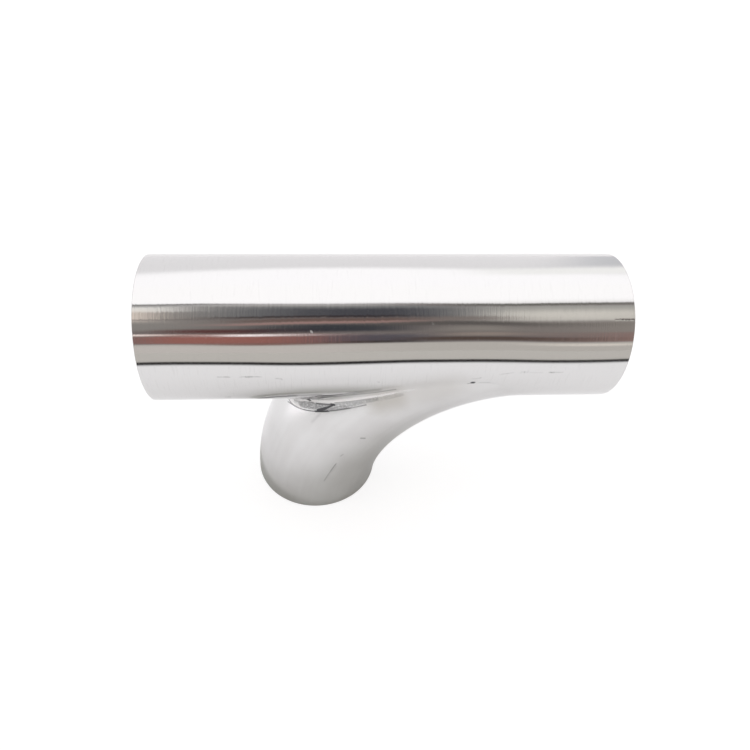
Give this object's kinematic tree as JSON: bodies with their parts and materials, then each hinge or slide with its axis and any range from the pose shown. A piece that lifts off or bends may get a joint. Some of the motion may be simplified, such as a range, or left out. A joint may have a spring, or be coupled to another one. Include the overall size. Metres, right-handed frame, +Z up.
{
  "type": "wye tee",
  "caption": "Swept wye tee: a straight round tube whose underside takes an equal elbow, merging smoothly at its heel and meeting it in an acute crotch, with three open plain ends.",
  "frame": {"origin": "where the run's axis and the outlet's axis cross, on the tee's plane of symmetry", "axes": "+X along the run towards its long arm, +Z up with the outlet facing -Z, +Y across the plane of symmetry"},
  "size_m": [0.16, 0.051, 0.101],
  "materials": {
    "polished_steel": "mirror polished, with fine hairlines round the run"
  },
  "bodies": {
    "root": {"wye_tee": "polished_steel"}
  },
  "joints": []
}
